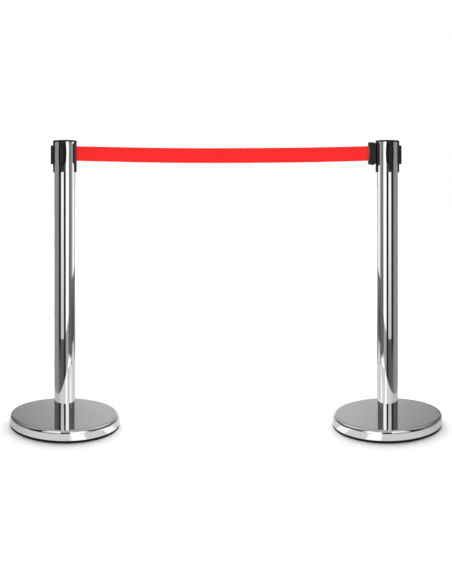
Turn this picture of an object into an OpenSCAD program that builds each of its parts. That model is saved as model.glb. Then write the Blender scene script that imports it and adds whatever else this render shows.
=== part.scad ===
// Pair of free-standing queue barrier posts joined by one retractable belt.
// Each post carries a spring-wound belt cassette, a belt mouth and three clip receivers.
// Frame: origin on the floor halfway between the posts, +X from the post that feeds the belt
// to the post that receives it, +Y to the rear, +Z up.

/* [Posts] */
// Overall height of a post, floor to top of cap
post_height = 880; // [820:5:1000]
// Distance between the two post axes
post_spacing = 990; // [400:1:1960]
// Outer diameter of the polished tube
tube_d = 65; // [64.6:0.1:65.4]
// Wall thickness of the tube
tube_wall = 1.2; // [0.9:0.1:1.2]

/* [Base] */
// Outer diameter of the base cover
cover_d = 338; // [300:2:360]
// Height of the flat top of the base cover
base_top = 36; // [34:1:44]
// Sheet thickness of the base cover
cover_wall = 1.2; // [0.8:0.1:1.5]
// Outside radius of the rolled shoulder of the base cover
shoulder_r = 10; // [6:1:14]
// Height of the rubber floor ring below the cover
ring_height = 8; // [7:0.5:9]

/* [Belt] */
// Width of the webbing
belt_w = 45; // [38:1:48]
// Thickness of the webbing
belt_t = 0.7; // [0.5:0.1:0.9]
// Full length of one belt, from the drum to the clip pin
belt_length = 2000; // [1990:10:2200]
// Drop of the belt at the middle of its span
belt_sag = 9; // [0:0.5:20]

/* [Belt clip] */
// Length of the clip, channel face to belt face
clip_length = 22.5; // [21:0.5:26]
// Half of the clip's thickness
clip_half = 10.5; // [9:0.5:12]

/* [Hidden] */
$fn = 96;
SIDES = ["left", "right"];
RECEIVERS = [
    ["left", "rear", 90], ["left", "outer", 180], ["left", "front", 270],
    ["right", "inner", 90], ["right", "front", 180], ["right", "outer", 270]];
PIECES = [
    "base_weight", "base_cover", "floor_ring", "anchor_bolt", "anchor_washer", "foot_plug",
    "tube", "cassette_body", "cassette_lid", "belt_mouth", "guide_pins", "spindle", "spool",
    "belt_roll", "power_spring", "spring_case", "thrust_washer", "cap", "cap_screw",
    "head_screws"];

// Clearances
gap = 0.1;
fit = 0.05;
seat = 0.2;

// Tube and head heights
tube_r = tube_d / 2;
bore_r = tube_r - tube_wall;
tube_top = post_height - 6;
belt_z = post_height - 41;
belt_low = belt_z - belt_w / 2;
belt_high = belt_z + belt_w / 2;

// Base
cover_r = cover_d / 2;
ring_r = cover_r - 0.8;
weight_r = cover_r - 12;
weight_z = ring_height - 2;
hub_top = base_top - cover_wall - gap;
bolt_r = 6;
recess_r = 16;
recess_top = weight_z + 12.4;
washer_t = 2.2;
bolt_top = base_top + 16;
plug_top = base_top + 22;

// Cassette inside the head of the tube
cassette_r = bore_r - seat;
cassette_in_r = cassette_r - 2.6;
cassette_z = belt_z - 56;
cassette_floor = 3;
lid_z = belt_z + 27;
lid_t = 3.9;
window_z = belt_z - 27;
boss_z = belt_z - 32.5;
pin_r = 2;
pin_x = 29.3;
pin_y = 2.7;
spindle_r = 3;

// Spool, drum and spring
drum_r = 9;
flange_r = 25;
flange_t = 1.5;
flange_low = belt_low - 3;
flange_high = belt_high + 1.5;
case_z = cassette_z + cassette_floor + seat;
case_top = belt_z - 33;
case_r = cassette_in_r - 0.5;
case_wall = 1.5;
hub_r = 5.5;
spring_t = 0.5;
spring_pitch = 2.4;
spring_turns = 7;
wound_pitch = belt_t + 0.05;

// Plates that stand on the outside of the tube
plate_in = tube_r + gap;
plate_out = tube_r + 4.3;
mouth_out = tube_r + 4.5;
plate_low = belt_z - 33;
tongue_low = belt_z - 58;
tongue_half = 5.7;
slot_low = belt_z - 55;
slot_half = 4;
mouth_slot_half = 6;
screw_z = belt_z - 50;
screw_r = 1.5;

// Rail that takes a clip
rail_low = belt_z - 32;
rail_top = belt_z + 26;
neck_half = 3;
neck_out = plate_out + 3;
head_half = 6.2;
rail_out = neck_out + 4;

// Clip, in its own frame: u from the channel face towards the belt, w across, z up
clip_seat = plate_out + 0.8;
lip_t = 1.9;
cavity_end = rail_out - clip_seat + 0.3;
pin_u = 15.5;
clip_low = belt_z - 36;
clip_top = belt_z + 34;
scoop_depth = 2.5;
scoop_r = 102;
belt_slot_half = 1.6;
pocket_r = 3.6;
loop_in = pin_r + fit;
loop_out = loop_in + belt_t;

// Placing of the posts and clips
left_x = -post_spacing / 2;
right_x = post_spacing / 2;
right_turn = 90;
docked_angle = 90;
parked_x = mouth_out + 0.3 + clip_length;
span_start = left_x + mouth_out;
span_end = right_x - clip_seat - clip_length + scoop_depth;
docked_pin_x = right_x - clip_seat - pin_u;
seam_x = span_end - 230;

// Webbing left on each drum, from the full length less what is drawn out
inner_run = 32;
left_out = docked_pin_x - span_start + mouth_out - inner_run + 20;
right_out = parked_x - pin_u;
function wound_r(length) = sqrt(drum_r * drum_r + length * wound_pitch / PI);
left_roll_r = wound_r(belt_length - left_out);
right_roll_r = wound_r(belt_length - right_out);
function roll_r(side) = side == "left" ? left_roll_r : right_roll_r;

module on_post(side) {
    turn = side == "left" ? 0 : right_turn;
    translate([side == "left" ? left_x : right_x, 0, 0])
        rotate([0, 0, turn])
            children();
}

// A (y, z) outline drawn out along X
module along_x(from, to) {
    translate([from, 0, 0])
        rotate([90, 0, 90])
            linear_extrude(to - from)
                children();
}

// An (x, z) outline drawn out along Y, both ways from the middle plane
module across_y(half) {
    rotate([90, 0, 0])
        translate([0, 0, -half])
            linear_extrude(2 * half)
                children();
}

module pipe(outer, inner, low, high) {
    translate([0, 0, low])
        difference() {
            cylinder(r = outer, h = high - low);
            translate([0, 0, -1]) cylinder(r = inner, h = high - low + 2);
        }
}

// ---- Base ----

module base_weight() {
    color("dimgray")
        rotate_extrude()
            polygon([
                [bolt_r + 0.5, recess_top], [recess_r, recess_top], [recess_r, weight_z],
                [weight_r, weight_z], [weight_r, base_top - 14], [weight_r - 4, base_top - 10],
                [60, base_top - 6], [42, base_top - 6], [42, hub_top], [bolt_r + 0.5, hub_top]]);
}

module base_cover() {
    inner_shoulder = shoulder_r - cover_wall;
    shoulder_x = cover_r - shoulder_r;
    shoulder_z = base_top - shoulder_r;
    hole_r = bolt_r + 1;
    color("silver")
        rotate_extrude() {
            translate([cover_r - cover_wall, ring_height])
                square([cover_wall, shoulder_z - ring_height]);
            translate([hole_r, base_top - cover_wall])
                square([shoulder_x - hole_r, cover_wall]);
            intersection() {
                translate([shoulder_x, shoulder_z])
                    difference() {
                        circle(r = shoulder_r);
                        circle(r = inner_shoulder);
                    }
                translate([shoulder_x, shoulder_z]) square(shoulder_r + 1);
            }
        }
}

module floor_ring() {
    lip_r = cover_r - cover_wall - seat;
    color([0.07, 0.07, 0.07])
        rotate_extrude()
            polygon([
                [weight_r - 12, 0.6], [weight_r - 11, 0], [ring_r - 1, 0], [ring_r, 1],
                [ring_r, ring_height - gap], [lip_r, ring_height - gap],
                [lip_r, ring_height + 6],
                [weight_r + 1, ring_height + 6], [weight_r + 1, weight_z - seat],
                [weight_r - 12, weight_z - seat]]);
}

module anchor_bolt() {
    head_r = 18 / sqrt(3);
    head_h = 7.5;
    head_top = recess_top - washer_t - 2 * gap;
    color("darkgray") {
        translate([0, 0, head_top - head_h]) cylinder(r = head_r, h = head_h, $fn = 6);
        translate([0, 0, head_top - 0.5]) cylinder(r = bolt_r, h = bolt_top - head_top + 0.5);
    }
}

module anchor_washer() {
    top = recess_top - gap;
    color("lightgray") pipe(14, bolt_r + 0.5, top - washer_t, top);
}

module foot_plug() {
    low = base_top + 2 * gap;
    color("gray")
        rotate_extrude()
            polygon([
                [bolt_r + fit, low], [cassette_r - 1, low], [cassette_r, low + 1],
                [cassette_r, plug_top], [24, plug_top], [22, low + 9], [12, low + 9],
                [12, bolt_top - 2], [bolt_r + fit, bolt_top - 2]]);
}

// ---- Post ----

module tube() {
    color("silver")
        difference() {
            pipe(tube_r, bore_r, base_top + gap, tube_top);
            for (a = [0, 90, 180, 270])
                rotate([0, 0, a])
                    translate([cassette_in_r, -slot_half, slot_low])
                        cube([8, 2 * slot_half, tube_top - slot_low + 1]);
            translate([cassette_in_r, -mouth_slot_half, plate_low])
                cube([8, 2 * mouth_slot_half, tube_top - plate_low + 1]);
        }
}

module cassette_body() {
    color([0.12, 0.12, 0.12])
        difference() {
            union() {
                pipe(cassette_r, cassette_in_r, cassette_z, lid_z - gap);
                pipe(cassette_in_r + 0.5, spindle_r + fit, cassette_z, cassette_z + cassette_floor);
                // Boss that holds the lower ends of the guide pins in the tube's slot
                intersection() {
                    translate([26, -5.8, boss_z]) cube([8, 11.6, window_z - boss_z]);
                    translate([0, 0, boss_z - 1]) cylinder(r = tube_r - gap, h = 20);
                }
            }
            translate([25, -5, window_z]) cube([8, 10, lid_z - window_z + 1]);
            for (side = [-1, 1])
                translate([pin_x, side * pin_y, window_z - 4]) cylinder(r = pin_r + fit, h = 5);
            for (a = [0, 90, 180, 270])
                rotate([0, 90, a])
                    translate([-screw_z, 0, 25]) cylinder(r = screw_r + fit, h = 8);
        }
}

module cassette_lid() {
    color([0.16, 0.16, 0.16])
        difference() {
            union() {
                pipe(cassette_r, spindle_r + fit, lid_z, lid_z + lid_t);
                intersection() {
                    translate([26, -5.8, lid_z]) cube([8, 11.6, lid_t]);
                    translate([0, 0, lid_z]) cylinder(r = tube_r - gap, h = lid_t);
                }
            }
            for (side = [-1, 1])
                translate([pin_x, side * pin_y, lid_z - 1]) cylinder(r = pin_r + fit, h = 4);
        }
}

module guide_pins() {
    color("lightgray")
        for (side = [-1, 1])
            translate([pin_x, side * pin_y, window_z - 3.8])
                cylinder(r = pin_r, h = lid_z - window_z + 6.5);
}

module spindle() {
    color("lightgray")
        difference() {
            union() {
                translate([0, 0, cassette_z - 0.1]) cylinder(r = spindle_r, h = lid_z + 3.8 - cassette_z);
                translate([0, 0, cassette_z - 2.1]) cylinder(r = 5.5, h = 2);
            }
            translate([0, 0, lid_z - 8]) cylinder(r = screw_r + fit, h = 20);
        }
}

module spool() {
    color([0.85, 0.85, 0.82])
        rotate_extrude()
            polygon([
                [spindle_r + fit, case_z + 2], [hub_r, case_z + 2], [hub_r, case_top + 1.3],
                [drum_r, case_top + 1.3], [drum_r, flange_low], [flange_r, flange_low],
                [flange_r, flange_low + flange_t], [drum_r, flange_low + flange_t],
                [drum_r, flange_high], [flange_r, flange_high],
                [flange_r, flange_high + flange_t], [spindle_r + fit, flange_high + flange_t]]);
}

module belt_roll(side) {
    color([0.9, 0.1, 0.08]) pipe(roll_r(side), drum_r + gap, belt_low, belt_high);
}

// Flat coil of spring steel, drawn as half turns about two centres half a pitch apart
module power_spring() {
    first_r = hub_r + 0.9;
    color("steelblue")
        for (half = [0 : 2 * spring_turns - 1])
            translate([half % 2 * spring_pitch / 2, 0, case_z + 2.5])
                rotate([0, 0, half % 2 * 180])
                    rotate_extrude(angle = 180)
                        translate([first_r + half * spring_pitch / 2, 0])
                            square([spring_t, case_top - case_z - 6]);
}

module spring_case() {
    color([0.2, 0.2, 0.22])
        rotate_extrude()
            polygon([
                [case_r, case_z], [case_r, case_top], [hub_r + 0.4, case_top],
                [hub_r + 0.4, case_top - case_wall], [case_r - case_wall, case_top - case_wall],
                [case_r - case_wall, case_z]]);
}

module thrust_washer() {
    color("gold") pipe(drum_r, hub_r + 0.4, case_top + gap, case_top + 1.1);
}

module cap() {
    edge_r = 1;
    dome = 0.9;
    cap_r = plate_out + gap;
    cap_low = tube_top + seat;
    edge_z = post_height - dome - edge_r;
    dome_r = (pow(cap_r - edge_r, 2) + pow(dome, 2)) / (2 * dome);
    hole_r = screw_r + gap;
    color([0.1, 0.1, 0.1]) {
        rotate_extrude()
            difference() {
                union() {
                    intersection() {
                        translate([0, post_height - dome_r]) circle(r = dome_r, $fn = 720);
                        translate([0, cap_low]) square([cap_r - edge_r, 10]);
                    }
                    translate([0, cap_low]) square([cap_r, edge_z - cap_low]);
                    intersection() {
                        translate([cap_r - edge_r, edge_z]) circle(r = edge_r);
                        translate([cap_r - edge_r - 0.01, edge_z - 0.01]) square(edge_r + 1);
                    }
                }
                translate([-1, cap_low - 1]) square([hole_r + 1, 10]);
                polygon([
                    [0, post_height - 1.7], [hole_r, post_height - 1.7], [3.6, post_height + 0.3],
                    [0, post_height + 0.3]]);
            }
        pipe(bore_r - 0.3, cassette_in_r, lid_z + lid_t + 0.4, cap_low + 0.5);
    }
}

module cap_screw() {
    head_z = post_height - 1.8;
    color("lightgray") {
        translate([0, 0, lid_z - 6]) cylinder(r = screw_r, h = head_z - lid_z + 6.1);
        translate([0, 0, head_z]) cylinder(r1 = screw_r, r2 = 3.1, h = 1.6);
    }
}

module head_screws() {
    tip = cassette_in_r + 0.2;
    color("lightgray")
        for (a = [0, 90, 180, 270])
            rotate([0, 90, a])
                translate([-screw_z, 0, 0]) {
                    translate([0, 0, tip]) cylinder(r = screw_r, h = plate_out - 1.5 - tip);
                    translate([0, 0, plate_out - 1.6]) cylinder(r1 = screw_r, r2 = 2.9, h = 1.5);
                }
}

module screw_hole() {
    rotate([0, 90, 0])
        translate([-screw_z, 0, 0]) {
            cylinder(r = screw_r + gap, h = plate_out + 2);
            translate([0, 0, plate_out - 1.7]) cylinder(r1 = screw_r + gap, r2 = 3.3, h = 1.9);
        }
}

// Narrow lower leg of the plates, with a rounded end
module tongue_outline(top, half) {
    translate([-tongue_half, tongue_low + tongue_half])
        square([2 * tongue_half, plate_low - 6 - tongue_low - tongue_half]);
    translate([0, tongue_low + tongue_half]) circle(r = tongue_half);
    polygon([
        [-tongue_half, plate_low - 6.1], [tongue_half, plate_low - 6.1],
        [half, top], [-half, top]]);
}

module receiver() {
    bow_r = 322;
    mid_half = 12;
    shoulder = 10.2;
    color([0.13, 0.13, 0.13])
        difference() {
            union() {
                intersection() {
                    pipe(plate_out, plate_in, tongue_low - 1, tube_top);
                    along_x(20, 40) {
                        intersection() {
                            translate([mid_half - bow_r, belt_z]) circle(r = bow_r, $fn = 720);
                            translate([bow_r - mid_half, belt_z]) circle(r = bow_r, $fn = 720);
                            translate([-20, plate_low]) square([40, tube_top - plate_low]);
                        }
                        tongue_outline(plate_low + 0.1, shoulder);
                    }
                }
                // Key that fills the tube's slot
                translate([bore_r, 0.1 - slot_half, slot_low + seat])
                    cube([2, 2 * slot_half - seat, tube_top - slot_low - seat]);
                clip_rail();
            }
            screw_hole();
        }
}

// T-shaped rail that a belt clip drops over
module clip_rail() {
    root = plate_out - 1;
    edge = 0.8;
    groove = 1.5;
    difference() {
        intersection() {
            translate([0, 0, rail_low])
                linear_extrude(rail_top - rail_low)
                    polygon([
                        [root, -neck_half], [neck_out, -neck_half], [neck_out, -head_half],
                        [rail_out - edge, -head_half], [rail_out, edge - head_half],
                        [rail_out, head_half - edge], [rail_out - edge, head_half],
                        [neck_out, head_half], [neck_out, neck_half], [root, neck_half]]);
            across_y(head_half + 1)
                polygon([
                    [root, rail_low], [rail_out - 1.5, rail_low], [rail_out, rail_low + 1.5],
                    [rail_out, rail_top - 3], [rail_out - 2.5, rail_top], [root, rail_top]]);
        }
        along_x(rail_out - 0.7, rail_out + 1)
            polygon([
                [-3.5, rail_low - 1], [3.5, rail_low - 1], [groove, rail_low + 9],
                [groove, rail_top - 7], [-groove, rail_top - 7], [-groove, rail_low + 9]]);
    }
}

module belt_mouth() {
    half = 15.3;
    top = belt_z + 30;
    color([0.13, 0.13, 0.13])
        difference() {
            union() {
                intersection() {
                    pipe(mouth_out, plate_in, plate_low - 10, top);
                    along_x(20, 40)
                        polygon([
                            [-half, belt_z - 26], [-half, top - 2], [2 - half, top], [half - 2, top],
                            [half, top - 2], [half, belt_z - 26], [tongue_half, belt_z - 35],
                            [-tongue_half, belt_z - 35]]);
                }
                intersection() {
                    pipe(plate_out, plate_in, tongue_low - 1, tube_top);
                    along_x(20, 40) {
                        tongue_outline(plate_low, tongue_half);
                        translate([-6.5, top - 3]) square([13, tube_top - top + 3]);
                    }
                }
                translate([bore_r, 0.1 - slot_half, slot_low + seat])
                    cube([2, 2 * slot_half - seat, plate_low - slot_low - 2 * seat]);
            }
            screw_hole();
            // Slot for the webbing, flared outwards
            translate([0, 0, belt_low - 3])
                linear_extrude(belt_w + 6)
                    polygon([
                        [tube_r - 2, -1.6], [tube_r + 2, -1.6], [mouth_out + 1, -4],
                        [mouth_out + 1, 4], [tube_r + 2, 1.6], [tube_r - 2, 1.6]]);
        }
}

// ---- Belt ----

function sag_at(x) =
    let (s = min(1, max(0, (x - span_start) / (span_end - span_start))))
    4 * belt_sag * s * (1 - s);

// Webbing on edge along X, with its sag
module belt_panel(from, to) {
    steps = max(1, ceil((to - from) / 45));
    stations = [for (i = [0 : steps]) from + (to - from) * i / steps];
    across_y(belt_t / 2)
        polygon(concat(
            [for (x = stations) [x, belt_high - sag_at(x)]],
            [for (i = [steps : -1 : 0]) [stations[i], belt_low - sag_at(stations[i])]]));
}

// Webbing from the drum, round the guide pin and out to the mouth's face
module belt_inner_run(roll) {
    from_r = roll + belt_t / 2 + gap;
    heading = atan2(-pin_y, pin_x) + asin((from_r + pin_y) / norm([pin_x, pin_y]));
    bend_steps = 5;
    line = concat(
        [[from_r * sin(heading), -from_r * cos(heading), heading]],
        [for (i = [0 : bend_steps])
            let (a = heading * (1 - i / bend_steps))
            [pin_x - pin_y * sin(a), pin_y * (cos(a) - 1), a]],
        [[mouth_out, 0, 0]]);
    last = len(line) - 1;
    h = belt_t / 2;
    translate([0, 0, belt_low])
        linear_extrude(belt_w)
            polygon(concat(
                [for (p = line) [p[0] - h * sin(p[2]), p[1] + h * cos(p[2])]],
                [for (i = [last : -1 : 0])
                    let (p = line[i])
                    [p[0] + h * sin(p[2]), p[1] - h * cos(p[2])]]));
}

module belt_loop() {
    pipe(loop_out, loop_in, belt_low, belt_high);
}

module left_belt() {
    color([0.93, 0.1, 0.08]) {
        on_post("left") belt_inner_run(left_roll_r);
        belt_panel(span_start - 0.01, seam_x - gap);
    }
}

module left_belt_end() {
    color([0.93, 0.1, 0.08]) {
        belt_panel(seam_x, docked_pin_x - loop_in - 0.2);
        translate([docked_pin_x, 0, 0]) belt_loop();
    }
}

module right_belt() {
    pin_at = parked_x - pin_u;
    color([0.93, 0.1, 0.08])
        on_post("right") {
            belt_inner_run(right_roll_r);
            translate([mouth_out - 0.01, -belt_t / 2, belt_low])
                cube([pin_at - loop_in - 0.2 - mouth_out, belt_t, belt_w]);
            translate([pin_at, 0, 0]) belt_loop();
        }
}

// ---- Belt clip ----

module clip_plan() {
    corner = 3;
    nose = 1.5;
    translate([corner, -clip_half]) square([clip_length - 2 * corner, 2 * clip_half]);
    translate([0, nose - clip_half]) square([2 * corner, 2 * (clip_half - nose)]);
    translate([nose, -clip_half]) square([2 * corner, 2 * clip_half]);
    translate([clip_length / 2, corner - clip_half])
        square([clip_length / 2, 2 * (clip_half - corner)]);
    for (side = [-1, 1]) {
        translate([clip_length - corner, side * (clip_half - corner)]) circle(r = corner);
        translate([nose, side * (clip_half - nose)]) circle(r = nose);
    }
}

module clip_body() {
    color([0.12, 0.12, 0.12])
        difference() {
            intersection() {
                translate([0, 0, clip_low - 1]) linear_extrude(clip_top - clip_low + 2) clip_plan();
                across_y(clip_half + 1)
                    polygon([
                        [0, clip_low + 7], [3, clip_low + 5], [8, clip_low],
                        [clip_length, clip_low + 3], [clip_length, clip_top], [8, clip_top],
                        [0, clip_top - 4]]);
            }
            // Hollow face on the belt side
            translate([clip_length + scoop_r - scoop_depth, 0, belt_z])
                rotate([90, 0, 0])
                    translate([0, 0, -20]) cylinder(r = scoop_r, h = 40, $fn = 360);
            // Channel that drops over a rail
            translate([lip_t, -head_half - 0.4, clip_low - 1])
                cube([cavity_end - lip_t, 2 * head_half + 0.8, rail_top + 0.4 - clip_low + 1]);
            translate([-1, -neck_half - 0.4, clip_low - 1])
                cube([lip_t + 2, 2 * neck_half + 0.8, rail_top + 0.4 - clip_low + 1]);
            // Bore for the pin, pocket for the belt's loop and slot for the belt
            translate([pin_u, 0, clip_low - 1]) cylinder(r = pin_r + fit, h = clip_top - clip_low - 3);
            translate([pin_u, 0, belt_low - 1]) cylinder(r = pocket_r, h = belt_w + 2);
            translate([pin_u, -belt_slot_half, belt_low - 1])
                cube([clip_length, 2 * belt_slot_half, belt_w + 2]);
        }
}

module clip_pin() {
    color("lightgray")
        translate([pin_u, 0, clip_low + 3]) cylinder(r = pin_r, h = clip_top - clip_low - 8);
}

module docked() {
    on_post("right")
        rotate([0, 0, docked_angle])
            translate([clip_seat, 0, 0])
                children();
}

module parked() {
    on_post("right")
        translate([parked_x, 0, 0])
            rotate([0, 0, 180])
                children();
}

for (side = SIDES) {
    on_post(side) base_weight();
    on_post(side) base_cover();
    on_post(side) floor_ring();
    on_post(side) anchor_bolt();
    on_post(side) anchor_washer();
    on_post(side) foot_plug();
    on_post(side) tube();
    on_post(side) cassette_body();
    on_post(side) cassette_lid();
    on_post(side) belt_mouth();
    on_post(side) guide_pins();
    on_post(side) spindle();
    on_post(side) spool();
    on_post(side) belt_roll(side);
    on_post(side) power_spring();
    on_post(side) spring_case();
    on_post(side) thrust_washer();
    on_post(side) cap();
    on_post(side) cap_screw();
    on_post(side) head_screws();
}
for (r = RECEIVERS)
    on_post(r[0]) rotate([0, 0, r[2]]) receiver();
left_belt();
left_belt_end();
docked() clip_body();  // left_clip_body
docked() clip_pin();  // left_clip_pin
right_belt();
parked() clip_body();  // right_clip_body
parked() clip_pin();  // right_clip_pin
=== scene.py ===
"""Looks of a pair of queue barrier posts joined by one retractable belt.

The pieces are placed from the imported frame. Webbing is built here, wound, drawn out and looped
round the clip pins. The rigid parts keep their CAD meshes and get finishes, and the plastic
parts outside the tubes get eased edges. The studio's cards are placed in metres.
"""
import math

import bmesh
import bpy
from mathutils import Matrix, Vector

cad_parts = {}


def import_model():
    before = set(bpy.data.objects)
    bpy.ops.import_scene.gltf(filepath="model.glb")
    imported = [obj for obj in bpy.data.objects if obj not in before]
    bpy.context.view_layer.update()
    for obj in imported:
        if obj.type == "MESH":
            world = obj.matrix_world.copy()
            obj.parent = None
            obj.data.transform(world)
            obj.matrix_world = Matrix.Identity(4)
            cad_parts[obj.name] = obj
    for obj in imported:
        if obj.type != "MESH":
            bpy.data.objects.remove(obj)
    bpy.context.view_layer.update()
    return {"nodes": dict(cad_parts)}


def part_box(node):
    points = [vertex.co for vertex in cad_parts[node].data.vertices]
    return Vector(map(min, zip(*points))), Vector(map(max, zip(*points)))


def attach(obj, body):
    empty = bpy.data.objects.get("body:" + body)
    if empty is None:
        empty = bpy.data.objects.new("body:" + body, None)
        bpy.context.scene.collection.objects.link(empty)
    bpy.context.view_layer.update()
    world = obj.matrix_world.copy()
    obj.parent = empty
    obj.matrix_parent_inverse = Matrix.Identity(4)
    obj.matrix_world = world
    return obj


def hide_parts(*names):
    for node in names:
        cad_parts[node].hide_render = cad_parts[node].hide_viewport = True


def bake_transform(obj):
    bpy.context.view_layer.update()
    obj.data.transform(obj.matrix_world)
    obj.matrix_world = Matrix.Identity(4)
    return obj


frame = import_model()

MM = 0.001
UP = Vector((0, 0, 1))


# ---- Places on the frame ----

class Post:
    """A post's own frame: out is the way a belt leaves it, and across is to the left of that."""

    def __init__(self, side, out):
        low, high = (Vector(c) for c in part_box(f"{side}_tube"))
        self.side = side
        self.axis = Vector(((low.x + high.x) / 2, (low.y + high.y) / 2, 0))
        self.out = Vector(out)
        self.across = UP.cross(self.out)

    def at(self, u, w, z):
        """World place, from distances along out and across and a height."""
        return self.axis + self.out * u + self.across * w + UP * z

    def span(self, node, direction):
        """Near and far end of a node along one of the post's directions."""
        ends = [(Vector(c) - self.axis).dot(direction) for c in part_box(node)]
        return min(ends), max(ends)


LEFT = Post("left", (1, 0, 0))
RIGHT = Post("right", (0, 1, 0))
RIGHT_DOCK = Post("right", (-1, 0, 0))

ROLL_LOW, ROLL_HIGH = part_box("left_belt_roll")
WEBBING_WIDTH = ROLL_HIGH[2] - ROLL_LOW[2]
WEBBING_THICKNESS = 0.7 * MM
WEBBING_UV = "webbing"
WOUND_PITCH = 0.75 * MM
WOUND_GAP = 0.1 * MM
INSIDE_MOUTH = 3 * MM
BELT_Z = (ROLL_LOW[2] + ROLL_HIGH[2]) / 2


# ---- Node helpers ----

NOISE_SPREAD = (0.3, 0.7)


def new_material(name, **values):
    """A Principled material with those socket values, and its node tree."""
    made = bpy.data.materials.new(name)
    made.use_nodes = True
    shader = made.node_tree.nodes["Principled BSDF"]
    for key, value in values.items():
        shader.inputs[key].default_value = value
    return made, made.node_tree, shader


def add(tree, kind, **settings):
    """A new node of that kind, with those settings."""
    node = tree.nodes.new(kind)
    for key, value in settings.items():
        setattr(node, key, value)
    return node


def math_node(tree, operation, a, b=None):
    """A Math node on sockets or numbers, and its result."""
    node = add(tree, "ShaderNodeMath", operation=operation)
    for socket, value in zip(node.inputs, (a, b)):
        if isinstance(value, (int, float)):
            socket.default_value = value
        elif value is not None:
            tree.links.new(value, socket)
    return node.outputs[0]


def noise(tree, scale, detail, stretch=(1, 1, 1)):
    """Noise in the object's own metres, stretched by those factors."""
    place = add(tree, "ShaderNodeTexCoord")
    mapping = add(tree, "ShaderNodeMapping")
    mapping.inputs["Scale"].default_value = stretch
    texture = add(tree, "ShaderNodeTexNoise")
    texture.inputs["Scale"].default_value = scale
    texture.inputs["Detail"].default_value = detail
    tree.links.new(place.outputs["Object"], mapping.inputs["Vector"])
    tree.links.new(mapping.outputs["Vector"], texture.inputs["Vector"])
    return texture.outputs["Fac"]


def ramp(tree, value, over, to):
    """Maps a value from one range to another in a straight line, and holds it at the ends."""
    node = add(tree, "ShaderNodeMapRange")
    keys = ("From Min", "From Max", "To Min", "To Max")
    for key, number in zip(keys, (*over, *to)):
        node.inputs[key].default_value = number
    tree.links.new(value, node.inputs["Value"])
    return node.outputs["Result"]


def between(tree, factor, low, high):
    """Maps a noise factor, which mostly keeps to its middle, to a range of numbers."""
    return ramp(tree, factor, over=NOISE_SPREAD, to=(low, high))


def blend_colours(tree, factor, first, second):
    """A colour between two, by a factor."""
    node = add(tree, "ShaderNodeMix", data_type="RGBA")
    node.inputs["A"].default_value = (*first, 1)
    node.inputs["B"].default_value = (*second, 1)
    tree.links.new(factor, node.inputs["Factor"])
    return node.outputs["Result"]


def bump(tree, shader, height, strength, depth):
    """Relief of the surface, with its depth in metres."""
    node = add(tree, "ShaderNodeBump")
    node.inputs["Strength"].default_value = strength
    node.inputs["Distance"].default_value = depth
    tree.links.new(height, node.inputs["Height"])
    tree.links.new(node.outputs["Normal"], shader.inputs["Normal"])


def finish_with(tree, shader, colour, roughness):
    """Links a colour and a roughness to the shader."""
    tree.links.new(colour, shader.inputs["Base Color"])
    tree.links.new(roughness, shader.inputs["Roughness"])


# ---- Finishes ----

def polished_steel():
    """Mirror-polished stainless tube, with faint polishing lines along it."""
    made, tree, shader = new_material("polished_tube_steel", Metallic=1.0)
    clouds = noise(tree, 14, 4)
    lines = noise(tree, 900, 2, stretch=(1, 1, 0.012))
    colour = blend_colours(tree, clouds, (0.80, 0.80, 0.79), (0.84, 0.835, 0.825))
    finish_with(tree, shader, colour, between(tree, lines, 0.03, 0.06))
    bump(tree, shader, lines, 0.04, 0.02 * MM)
    return made


def spun_steel():
    """Pressed and polished base cover, with a fine even grain."""
    made, tree, shader = new_material("polished_cover_steel", Metallic=1.0)
    grain = noise(tree, 1600, 2)
    clouds = noise(tree, 11, 4)
    colour = blend_colours(tree, clouds, (0.79, 0.785, 0.775), (0.83, 0.825, 0.815))
    finish_with(tree, shader, colour, between(tree, clouds, 0.04, 0.075))
    bump(tree, shader, grain, 0.05, 0.02 * MM)
    return made


def black_plastic():
    """Moulded ABS with a fine spark texture and a little handling shine."""
    made, tree, shader = new_material("moulded_black_plastic")
    shader.inputs["Specular IOR Level"].default_value = 0.25
    grain = noise(tree, 2400, 2)
    patches = noise(tree, 60, 3)
    colour = blend_colours(tree, patches, (0.003, 0.003, 0.0033), (0.006, 0.006, 0.0064))
    finish_with(tree, shader, colour, between(tree, patches, 0.24, 0.34))
    bump(tree, shader, grain, 0.08, 0.04 * MM)
    return made


def rubber():
    """Moulded rubber, matt and grainy."""
    made, tree, shader = new_material("black_rubber")
    grain = noise(tree, 900, 4)
    shader.inputs["Specular IOR Level"].default_value = 0.25
    colour = blend_colours(tree, grain, (0.004, 0.004, 0.004), (0.009, 0.009, 0.0085))
    finish_with(tree, shader, colour, between(tree, grain, 0.68, 0.82))
    bump(tree, shader, grain, 0.3, 0.1 * MM)
    return made


def cast_iron():
    """Rough sand-cast iron under thin grey paint."""
    made, tree, shader = new_material("painted_cast_iron", Metallic=0.0)
    sand = noise(tree, 420, 5)
    patches = noise(tree, 30, 4)
    colour = blend_colours(tree, patches, (0.045, 0.047, 0.05), (0.085, 0.083, 0.08))
    finish_with(tree, shader, colour, between(tree, sand, 0.55, 0.8))
    bump(tree, shader, sand, 0.6, 0.4 * MM)
    return made


def zinc_steel():
    """Bright zinc plating, with the faint patches of its crystals."""
    made, tree, shader = new_material("zinc_plated_steel", Metallic=1.0)
    patches = noise(tree, 260, 3)
    colour = blend_colours(tree, patches, (0.58, 0.60, 0.64), (0.70, 0.71, 0.72))
    finish_with(tree, shader, colour, between(tree, patches, 0.2, 0.36))
    bump(tree, shader, noise(tree, 1800, 2), 0.08, 0.05 * MM)
    return made


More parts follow.
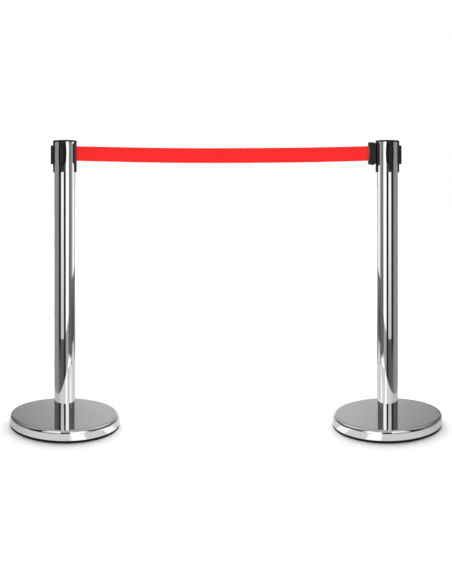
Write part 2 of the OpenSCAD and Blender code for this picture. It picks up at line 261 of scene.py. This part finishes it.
def black_steel():
    """Black oxide on the screws, a little worn."""
    made, tree, shader = new_material("black_oxide_steel", Metallic=1.0)
    wear = noise(tree, 340, 4)
    colour = blend_colours(tree, wear, (0.035, 0.035, 0.04), (0.075, 0.074, 0.075))
    finish_with(tree, shader, colour, between(tree, wear, 0.3, 0.45))
    bump(tree, shader, noise(tree, 1500, 2), 0.06, 0.04 * MM)
    return made


def pale_plastic():
    """Natural acetal, moulded smooth."""
    made, tree, shader = new_material("white_acetal")
    clouds = noise(tree, 45, 3)
    colour = blend_colours(tree, clouds, (0.74, 0.73, 0.69), (0.80, 0.79, 0.75))
    finish_with(tree, shader, colour, between(tree, clouds, 0.3, 0.42))
    bump(tree, shader, noise(tree, 1500, 2), 0.05, 0.05 * MM)
    return made


def spring_steel():
    """Blue-tempered strip, with rolling lines round the coil."""
    made, tree, shader = new_material("tempered_spring_steel", Metallic=1.0)
    lines = noise(tree, 500, 2, stretch=(0.05, 0.05, 1))
    colour = blend_colours(tree, lines, (0.20, 0.24, 0.31), (0.33, 0.36, 0.41))
    finish_with(tree, shader, colour, between(tree, lines, 0.24, 0.4))
    bump(tree, shader, lines, 0.1, 0.04 * MM)
    return made


def brass():
    """Turned brass, slightly dulled."""
    made, tree, shader = new_material("turned_brass", Metallic=1.0)
    tint = noise(tree, 180, 3)
    colour = blend_colours(tree, tint, (0.66, 0.46, 0.18), (0.78, 0.58, 0.27))
    finish_with(tree, shader, colour, between(tree, tint, 0.22, 0.38))
    bump(tree, shader, noise(tree, 900, 2), 0.06, 0.04 * MM)
    return made


def red_webbing():
    """Woven polyester: ribs along the belt, crossed by a fine twill, and darker towards its edges.
    """
    rib_pitch, rib_share = 1.1 * MM, 0.55
    twill_pitch, twill_share = 1.5 * MM, 0.45
    edge_band, edge_darkness = 1.6 * MM, 0.45
    half = WEBBING_WIDTH / 2
    made, tree, shader = new_material("red_polyester_webbing", Roughness=0.72)
    shader.inputs["Specular IOR Level"].default_value = 0.2
    uv = add(tree, "ShaderNodeUVMap", uv_map=WEBBING_UV)
    parts = add(tree, "ShaderNodeSeparateXYZ")
    tree.links.new(uv.outputs["UV"], parts.inputs["Vector"])
    along, up = parts.outputs["X"], parts.outputs["Y"]

    def ridge(distance, pitch, share):
        """Sine ridges of that pitch, from 0 to share."""
        turns = math_node(tree, "MULTIPLY", distance, 2 * math.pi / pitch)
        wave = math_node(tree, "MULTIPLY", math_node(tree, "SINE", turns), share / 2)
        return math_node(tree, "ADD", wave, share / 2)

    zigzag = math_node(tree, "PINGPONG", up, 4 * rib_pitch)
    slanted = math_node(tree, "ADD", along, zigzag)
    ribs = ridge(up, rib_pitch, rib_share)
    weave = math_node(tree, "ADD", ribs, ridge(slanted, twill_pitch, twill_share))
    off_middle = math_node(tree, "ABSOLUTE", up)
    # The colour darkens over a band along each edge of the belt.
    edge = ramp(tree, off_middle, over=(half - edge_band, half), to=(1.0, edge_darkness))
    patches = between(tree, noise(tree, 9, 3), 0.9, 1.0)
    shade = math_node(tree, "MULTIPLY", weave, edge)
    shade = math_node(tree, "MULTIPLY", shade, patches)
    colour = blend_colours(tree, shade, (0.84, 0.010, 0.009), (1.0, 0.022, 0.018))
    tree.links.new(colour, shader.inputs["Base Color"])
    bump(tree, shader, weave, 0.5, 0.12 * MM)
    return made


# ---- Webbing ----

def section(beaded):
    """Outline across the webbing, as (height, offset) pairs, with a bead along its edges or not."""
    half, thick = WEBBING_WIDTH / 2, WEBBING_THICKNESS / 2
    if beaded:
        side = [
            (half, 0.6 * thick), (half - 0.7 * MM, 1.25 * thick), (half - 1.6 * MM, 0.85 * thick),
            (half - 3 * MM, thick), (half / 2, thick), (0, thick)]
    else:
        side = [(half, 0.5 * thick), (half - 0.6 * MM, thick), (0, thick)]
    upper = side + [(-h, t) for h, t in reversed(side[:-1])]
    return upper + [(h, -t) for h, t in reversed(upper)]


def lengths_along(stations):
    """Length of the line through the stations, up to each of them."""
    lengths = [0.0]
    for (a, _), (b, _) in zip(stations, stations[1:]):
        lengths.append(lengths[-1] + (b - a).length)
    return lengths


def add_sides(bm, rings, uv, lengths, outline):
    """Smooth faces from each ring of points to the next."""
    count = len(outline)
    for i, (ring, following) in enumerate(zip(rings, rings[1:])):
        for j in range(count):
            k = (j + 1) % count
            face = bm.faces.new((ring[j], ring[k], following[k], following[j]))
            face.smooth = True
            for loop, station, corner in zip(face.loops, (i, i, i + 1, i + 1), (j, k, k, j)):
                loop[uv].uv = (lengths[station], outline[corner][0])


def close_ends(bm, rings, uv, lengths):
    """A face over each end, with sharp edges that stay put when the strip is subdivided."""
    crease = bm.edges.layers.float.new("crease_edge")
    for ring, length in ((list(reversed(rings[0])), lengths[0]), (rings[-1], lengths[-1])):
        cap = bm.faces.new(ring)
        for loop in cap.loops:
            loop[uv].uv = (length, loop.vert.co.z - BELT_Z)
            loop.edge[crease] = 1.0
            loop.edge.smooth = False


def strip_mesh(name, stations, lengths, outline):
    """Closed strip with that outline through the stations, with UVs in metres."""
    mesh = bpy.data.meshes.new(name)
    bm = bmesh.new()
    rings = []
    for place, sideways in stations:
        rings.append([bm.verts.new(place + UP * h + sideways * t) for h, t in outline])
    uv = bm.loops.layers.uv.new(WEBBING_UV)
    add_sides(bm, rings, uv, lengths, outline)
    close_ends(bm, rings, uv, lengths)
    bmesh.ops.recalc_face_normals(bm, faces=bm.faces)
    bm.to_mesh(mesh)
    bm.free()
    return mesh


def webbing(name, stations, levels, beaded=True):
    """Strip standing on edge through (place, sideways direction) stations, then subdivided."""
    lengths = lengths_along(stations)
    mesh = strip_mesh(name, stations, lengths, section(beaded))
    piece = bpy.data.objects.new(name, mesh)
    bpy.context.scene.collection.objects.link(piece)
    piece.data.materials.append(RED)
    if levels:
        rounding = piece.modifiers.new("Rounding", "SUBSURF")
        rounding.levels = rounding.render_levels = levels
    piece.visible_glossy = False
    return piece


def heading_stations(post, line):
    """Stations from (u, w, heading) points in a post's own frame."""
    return [
        (post.at(u, w, BELT_Z), post.across * math.cos(a) - post.out * math.sin(a))
        for u, w, a in line]


class Cassette:
    """Where the webbing leaves its roll, turns at the guide pin and passes the mouth.

    Its drawn-out part is a piece of its own, which starts at start_u, just inside the mouth.
    """

    def __init__(self, post):
        side = post.side
        self.post = post
        self.roll_r = post.span(f"{side}_belt_roll", post.out)[1]
        near, far = post.span(f"{side}_guide_pins", post.out)
        pin_r = (far - near) / 2
        self.pin_u = (near + far) / 2
        self.pin_w = post.span(f"{side}_guide_pins", post.across)[1] - pin_r
        self.mouth_u = post.span(f"{side}_belt_mouth", post.out)[1]
        self.start_u = self.mouth_u - INSIDE_MOUTH
        self.leave_r = self.roll_r + WEBBING_THICKNESS / 2 + WOUND_GAP
        reach = math.hypot(self.pin_u, self.pin_w)
        turn = math.asin((self.leave_r + self.pin_w) / reach)
        self.heading = turn - math.atan2(self.pin_w, self.pin_u)

    def inner_run(self):
        """From the roll, round the guide pin and straight out to where the next piece starts."""
        bend_steps = 6
        start = self.heading
        line = [(self.leave_r * math.sin(start), -self.leave_r * math.cos(start), start)]
        for i in range(bend_steps + 1):
            a = self.heading * (1 - i / bend_steps)
            line.append((self.pin_u - self.pin_w * math.sin(a), self.pin_w * (math.cos(a) - 1), a))
        line.append((self.start_u, 0, 0))
        return heading_stations(self.post, line)

    def wound(self, drum_r):
        """The roll as one spiral strip, which ends just under the start of the inner run."""
        per_turn = 40
        outer = self.roll_r - WEBBING_THICKNESS / 2
        inner = drum_r + WEBBING_THICKNESS / 2 + WOUND_GAP
        steps = round((outer - inner) / WOUND_PITCH * per_turn)
        line = []
        for i in range(steps + 1):
            a = self.heading - 2 * math.pi * (steps - i) / per_turn
            r = inner + (outer - inner) * i / steps
            line.append((r * math.sin(a), -r * math.cos(a), a))
        return heading_stations(self.post, line)


def clip_loop(post, pin_u, pin_r, start_u, columns):
    """Straight run in to the pin, once round it, and back along itself to the sewn end."""
    pin_gap = 0.05 * MM
    wrap_r = pin_r + WEBBING_THICKNESS / 2 + pin_gap
    offset = 0.52 * WEBBING_THICKNESS
    ease = 7 * MM
    overlap = 1.5 * MM
    tail = 6.5 * MM
    inward = -1 if start_u > pin_u else 1
    near_u = pin_u - inward * ease
    line = [(start_u + (near_u - start_u) * i / columns, 0, 0) for i in range(columns + 1)]
    tilt = math.radians(35)
    wrap_steps = 14
    for i in range(wrap_steps + 1):
        a = -math.pi / 2 - tilt + (math.pi + 2 * tilt) * i / wrap_steps
        u = pin_u + inward * wrap_r * math.cos(a)
        line.append((u, wrap_r * math.sin(a), a + math.pi / 2))
    line.append((pin_u - inward * (ease - overlap), offset, math.pi))
    line.append((pin_u - inward * (ease + tail - overlap), offset, math.pi))
    return [
        (post.at(u, w, BELT_Z), post.across * math.cos(a) - post.out * inward * math.sin(a))
        for u, w, a in line]


# ---- Finishing the CAD parts ----

def ease_edges(piece, width):
    """Small moulded radii on the corners of a plastic part."""
    weld = piece.modifiers.new("Weld", "WELD")
    weld.merge_threshold = 0.002 * MM
    edges = piece.modifiers.new("Edge radius", "BEVEL")
    edges.width = width
    edges.segments = 2
    edges.limit_method = "ANGLE"
    edges.angle_limit = math.radians(32)
    edges.use_clamp_overlap = True
    shading = piece.modifiers.new("Even shading", "WEIGHTED_NORMAL")
    shading.weight = 80
    shading.thresh = 0.02


RED = red_webbing()
FINISHES = {
    "polished_steel": polished_steel(),
    "cast_iron": cast_iron(),
    "rubber": rubber(),
    "zinc_steel": zinc_steel(),
    "black_steel": black_steel(),
    "black_plastic": black_plastic(),
    "pale_plastic": pale_plastic(),
    "spring_steel": spring_steel(),
    "brass": brass(),
    "red_webbing": RED,
}
COVER_STEEL = spun_steel()
EASED = ("receiver", "belt_mouth", "clip_body")
CORNER_RADIUS = 0.35 * MM


def finish_cad_parts():
    """Gives each CAD node the finish of its slot, and the outer plastic parts their radii."""
    for name, piece in frame["nodes"].items():
        cover = name.endswith("base_cover")
        for slot in piece.material_slots:
            slot.material = COVER_STEEL if cover else FINISHES[slot.material.name]
        if any(word in name for word in EASED):
            ease_edges(piece, CORNER_RADIUS)


finish_cad_parts()


# ---- The belts ----

LEFT_CASSETTE = Cassette(LEFT)
RIGHT_CASSETTE = Cassette(RIGHT)
SPAN_START_X = LEFT.axis.x + LEFT_CASSETTE.mouth_u
SEAM_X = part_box("left_belt_end")[0][0]
CLIP_FACE_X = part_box("left_clip_body")[0][0]
SAG = BELT_Z - WEBBING_WIDTH / 2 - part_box("left_belt")[0][2]
PIN_LOW, PIN_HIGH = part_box("left_clip_pin")
CLIP_PIN_R = (PIN_HIGH[0] - PIN_LOW[0]) / 2


def belt_on_drum(cassette, reel):
    """The wound strip on a post's reel."""
    post = cassette.post
    drum_r = post.span(f"{post.side}_thrust_washer", post.out)[1]
    stations = cassette.wound(drum_r)
    roll = webbing(f"{post.side}_wound_webbing", stations, levels=0, beaded=False)
    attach(roll, reel)
    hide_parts(f"{post.side}_belt_roll")


def straight_out(cassette, body):
    """The short rigid run inside the head, from the roll to just inside the mouth."""
    side = cassette.post.side
    run = webbing(f"{side}_webbing_inside", cassette.inner_run(), levels=1)
    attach(run, body)
    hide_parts(f"{side}_belt")


def sag_at(x):
    """Drop of the belt below the straight line between mouth and clip, as a parabola."""
    share = min(1, max(0, (x - SPAN_START_X) / (CLIP_FACE_X - SPAN_START_X)))
    return 4 * SAG * share * (1 - share)


def spanning_belt():
    """The long run between the posts.

    It has three columns of control points, at its start, middle and end, so that the blend's
    weights are 0, a half and 1, and the run only stretches evenly when the posts move.
    """
    start_x = LEFT.axis.x + LEFT_CASSETTE.start_u
    middle_x = (start_x + SEAM_X) / 2
    ends = [-sag_at(start_x), -sag_at(SEAM_X)]
    # The subdivided strip passes at a sixth of both ends plus four sixths of the middle point.
    middle = (6 * -sag_at(middle_x) - sum(ends)) / 4
    stations = [
        (Vector((x, 0, BELT_Z + z)), Vector((0, 1, 0)))
        for x, z in ((start_x, ends[0]), (middle_x, middle), (SEAM_X, ends[1]))]
    belt = webbing("belt_span", stations, levels=4)
    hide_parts("left_belt")
    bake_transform(belt)


def docked_belt_end():
    """The last stretch, which lifts with the clip, and its loop round the pin."""
    pin = RIGHT_DOCK.span("left_clip_pin", RIGHT_DOCK.out)
    start_u = (Vector((SEAM_X, 0, 0)) - RIGHT_DOCK.axis).dot(RIGHT_DOCK.out)
    stations = clip_loop(RIGHT_DOCK, sum(pin) / 2, CLIP_PIN_R, start_u, columns=24)
    dropped = [(place - UP * sag_at(place.x), sideways) for place, sideways in stations]
    belt = webbing("belt_docked_end", dropped, levels=1)
    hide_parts("left_belt_end")
    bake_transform(belt)


def parked_belt_end():
    """The right post's own belt, from just inside its mouth to the parked clip's pin."""
    start_u = RIGHT_CASSETTE.start_u
    pin = RIGHT.span("right_clip_pin", RIGHT.out)
    stations = clip_loop(RIGHT, sum(pin) / 2, CLIP_PIN_R, start_u, columns=1)
    belt = webbing("parked_belt_end", stations, levels=1)
    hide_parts("right_belt")
    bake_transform(belt)


belt_on_drum(LEFT_CASSETTE, "feeding_reel")
straight_out(LEFT_CASSETTE, "feeding_post")
spanning_belt()
docked_belt_end()
belt_on_drum(RIGHT_CASSETTE, "receiving_reel")
straight_out(RIGHT_CASSETTE, "receiving_post")
parked_belt_end()


# ---- Studio ----
# Most cards come in pairs, mirrored in the middle plane between the posts.

POST_X = RIGHT.axis.x
CARD_TOP = 2.2


def place_from_middle(tree):
    """World place, with its X counted from the middle plane either way."""
    geometry = add(tree, "ShaderNodeNewGeometry")
    parts = add(tree, "ShaderNodeSeparateXYZ")
    tree.links.new(geometry.outputs["Position"], parts.inputs["Vector"])
    sideways = math_node(tree, "ABSOLUTE", parts.outputs["X"])
    return {"X": sideways, "Y": parts.outputs["Y"], "Z": parts.outputs["Z"]}


def glow(name, radiance=1.0):
    """Emission of one radiance, which drive can replace."""
    made = bpy.data.materials.new(name)
    made.use_nodes = True
    tree = made.node_tree
    tree.nodes.clear()
    light = add(tree, "ShaderNodeEmission")
    light.inputs["Strength"].default_value = radiance
    output = add(tree, "ShaderNodeOutputMaterial")
    tree.links.new(light.outputs["Emission"], output.inputs["Surface"])
    return made


def drive(material, strength):
    """Sets a glow's radiance from a socket."""
    light = next(node for node in material.node_tree.nodes if node.type == "EMISSION")
    material.node_tree.links.new(strength, light.inputs["Strength"])


def fading_glow(name, axis, over, to):
    """Glow that runs from one radiance to another between two places along an axis."""
    made = glow(name)
    tree = made.node_tree
    drive(made, ramp(tree, place_from_middle(tree)[axis], over, to))
    return made


def stage_mesh(name, corners, material):
    """One flat face of the studio."""
    mesh = bpy.data.meshes.new(name)
    mesh.from_pydata(corners, [], [range(len(corners))])
    mesh.materials.append(material)
    card = bpy.data.objects.new(name, mesh)
    bpy.context.scene.collection.objects.link(card)
    return card


def reflector(name, corners, material):
    """A card that only polished surfaces see."""
    card = stage_mesh(name, corners, material)
    card.visible_camera = card.visible_diffuse = card.visible_shadow = False
    card.visible_transmission = card.visible_volume_scatter = False
    return card


def wall(name, first, second, low, high, material, mirrored=True):
    """Upright card between two (x, y) points, and its mirror image in the middle plane.

    low and high are the heights of its edges, each one number or a pair for the two points.
    """
    (ax, ay), (bx, by) = first, second
    a_low, b_low = low if isinstance(low, tuple) else (low, low)
    a_high, b_high = high if isinstance(high, tuple) else (high, high)
    for turn in (1, -1) if mirrored else (1,):
        corners = [
            (turn * ax, ay, a_low), (turn * bx, by, b_low),
            (turn * bx, by, b_high), (turn * ax, ay, a_high)]
        reflector(f"{name}_{'right' if turn > 0 else 'left'}", corners, material)


def front_reflectors():
    """Far softboxes with a dark gap between them, and near boards in front of each post."""
    flag_top = 1.15
    inner, outer, foot = (0.391, -2.05), (1.094, -0.993), (-0.14, 0.03)
    wall("softbox", inner, outer, foot, CARD_TOP, glow("softbox", 1.25))
    wall("softbox_skirt", inner, outer, -0.9, foot, glow("softbox_skirt", 0.42))
    other_side = (-inner[0], inner[1])
    wall("camera_flag", other_side, inner, -1.0, flag_top, glow("flag", 0.03), mirrored=False)
    inner, middle, outer = (0.458, -0.7214), (0.858, -0.622), (1.092, -0.396)
    board_low, low = 0.134, -0.35
    board = fading_glow("front_board", "Z", over=(0.2, 0.69), to=(0.68, 1.10))
    wall("front_board", inner, middle, board_low, 1.7, board)
    wall("low_board", inner, middle, low, board_low, glow("low_board", 0.11))
    flag = fading_glow("side_flag", "Z", over=(0.0, 0.13), to=(0.14, 0.03))
    wall("side_flag", middle, outer, low, flag_top, flag)


def middle_reflectors():
    """Boards on the middle plane: dim in front, then white, then grey behind."""
    front, dim_end, white_end, back = (0, -0.327), (0, -0.04), (0, 0.50), (0, 1.5)
    foot, grey_foot = (0.395, 0.42), 0.41
    dim = fading_glow("dim_board", "Z", over=(0.2, 0.69), to=(0.14, 0.23))
    wall("dim_board", front, dim_end, 0.105, CARD_TOP, dim, mirrored=False)
    white = fading_glow("white_board", "Y", over=(-0.04, 0.19), to=(0.20, 1.15))
    wall("white_board", dim_end, white_end, foot, CARD_TOP, white, mirrored=False)
    low = fading_glow("low_back_board", "Z", over=(0.27, 0.4), to=(0.11, 0.19))
    wall("low_back_board", dim_end, white_end, 0.155, foot, low, mirrored=False)
    grey = glow("grey_board", 0.50)
    wall("grey_board", white_end, back, grey_foot, CARD_TOP, grey, mirrored=False)
    low_grey = glow("low_grey_board", 0.35)
    wall("low_grey_board", white_end, back, 0.11, grey_foot, low_grey, mirrored=False)


def backdrop():
    """White card across the back, with a wider grey one above it."""
    y, seam, half_width, top_half_width = 2.78, 0.75, 1.33, 2.6
    first, second = (-half_width, y), (half_width, y)
    wall("backdrop", first, second, -0.1, seam, glow("backdrop", 1.0), mirrored=False)
    first, second = (-top_half_width, y), (top_half_width, y)
    wall("backdrop_top", first, second, seam, CARD_TOP, backdrop_glow(), mirrored=False)


def backdrop_glow():
    """Grey that is dimmer to the sides and higher up."""
    made = glow("backdrop_top")
    tree = made.node_tree
    place = place_from_middle(tree)
    sideways = ramp(tree, place["X"], over=(0.88, 1.52), to=(0.55, 0.345))
    upward = ramp(tree, place["Z"], over=(0.79, 1.7), to=(1, 0.48))
    drive(made, math_node(tree, "MULTIPLY", sideways, upward))
    return made


def table_glow():
    """Bright table top with two brighter streaks beside each base.

    They follow the angle round the post, in degrees from its front towards the middle.
    """
    edge = 4
    made = glow("table")
    tree = made.node_tree
    place = place_from_middle(tree)
    inward = math_node(tree, "SUBTRACT", POST_X, place["X"])
    forward = math_node(tree, "MULTIPLY", place["Y"], -1)
    turn = math_node(tree, "DEGREES", math_node(tree, "ARCTAN2", inward, forward))
    strength = ramp(tree, turn, over=(-60, -20), to=(0.56, 0.74))
    for start, end, extra in ((18, 36, 0.5), (66, 86, 0.4)):
        rise = ramp(tree, turn, over=(start, start + edge), to=(0, extra))
        fall = ramp(tree, turn, over=(end, end + edge), to=(1, 0))
        strength = math_node(tree, "ADD", math_node(tree, "MULTIPLY", rise, fall), strength)
    drive(made, strength)
    return made


def table():
    """The table top just below the floor, a long shape with round ends."""
    centre_x, centre_y, radius, depth, steps = 0.207, 0.087, 0.687, 1 * MM, 48
    corners = []
    for side, first in ((1, -90), (-1, 90)):
        for i in range(steps + 1):
            a = math.radians(first + 180 * i / steps)
            x = side * centre_x + radius * math.cos(a)
            corners.append((x, centre_y + radius * math.sin(a), -depth))
    reflector("table", corners, table_glow())


def floor():
    """Matt white floor, which polished surfaces don't see."""
    made, tree, shader = new_material("pale_floor", Roughness=0.9)
    shader.inputs["Base Color"].default_value = (0.9, 0.9, 0.9, 1)
    shader.inputs["Specular IOR Level"].default_value = 0.0
    size = 30
    corners = [(-size, -size, 0), (size, -size, 0), (size, size, 0), (-size, size, 0)]
    stage_mesh("floor", corners, made).visible_glossy = False


def switch(tree, factor, off, on):
    """One of two strengths, by a factor of 0 or 1."""
    node = add(tree, "ShaderNodeMix", data_type="FLOAT")
    tree.links.new(factor, node.inputs["Factor"])
    for key, value in (("A", off), ("B", on)):
        if isinstance(value, float):
            node.inputs[key].default_value = value
        else:
            tree.links.new(value, node.inputs[key])
    return node.outputs["Result"]


def world():
    """White to the camera; bright from the rear to matt surfaces; grey to polished ones."""
    made = bpy.data.worlds.new("studio")
    made.use_nodes = True
    tree = made.node_tree
    background = tree.nodes["Background"]
    background.inputs["Color"].default_value = (1, 1, 1, 1)
    rays = add(tree, "ShaderNodeLightPath")
    place = add(tree, "ShaderNodeTexCoord")
    parts = add(tree, "ShaderNodeSeparateXYZ")
    tree.links.new(place.outputs["Generated"], parts.inputs["Vector"])
    rearward = ramp(tree, parts.outputs["Y"], over=(-0.35, 1), to=(0, 3.9))
    low = ramp(tree, parts.outputs["Z"], over=(0.08, 0.2), to=(0.19, 0))
    high = ramp(tree, parts.outputs["Z"], over=(0.45, 1), to=(0.12, 0.55))
    seen = switch(tree, rays.outputs["Is Camera Ray"], rearward, 1.0)
    polished = math_node(tree, "ADD", low, high)
    strength = switch(tree, rays.outputs["Is Glossy Ray"], seen, polished)
    tree.links.new(strength, background.inputs["Strength"])
    bpy.context.scene.world = made


def front_light():
    """Soft low light from the front, mostly for the upright faces."""
    light = bpy.data.lights.new("front_light", "SUN")
    light.energy = 2.05
    light.angle = math.radians(40)
    holder = bpy.data.objects.new("front_light", light)
    rearward_and_down = Vector((0, 1, -0.12))
    holder.rotation_euler = rearward_and_down.to_track_quat("-Z", "Y").to_euler()
    holder.visible_glossy = False
    bpy.context.scene.collection.objects.link(holder)


def camera():
    """Level cylindrical lens on the middle plane, so that both posts are seen square on.

    It turns through left and right radians. Rise and drop are slopes up and down.
    """
    eye_height, post_distance = 0.7203, 2.2132
    left, right, rise, drop = 0.3163, 0.3159, 0.2687, 0.5486
    data = bpy.data.cameras.new("camera")
    data.type = "PANO"
    data.panorama_type = "CENTRAL_CYLINDRICAL"
    data.central_cylindrical_radius = 1.0
    data.central_cylindrical_range_u_min = -left
    data.central_cylindrical_range_u_max = right
    data.central_cylindrical_range_v_min = -drop
    data.central_cylindrical_range_v_max = rise
    holder = bpy.data.objects.new("camera", data)
    holder.location = (0, -math.sqrt(post_distance ** 2 - POST_X ** 2), eye_height)
    holder.rotation_euler = (math.radians(90), 0, 0)
    bpy.context.scene.collection.objects.link(holder)
    bpy.context.scene.camera = holder


front_reflectors()
middle_reflectors()
backdrop()
table()
floor()
world()
front_light()
camera()
bpy.context.scene.view_settings.view_transform = "Standard"
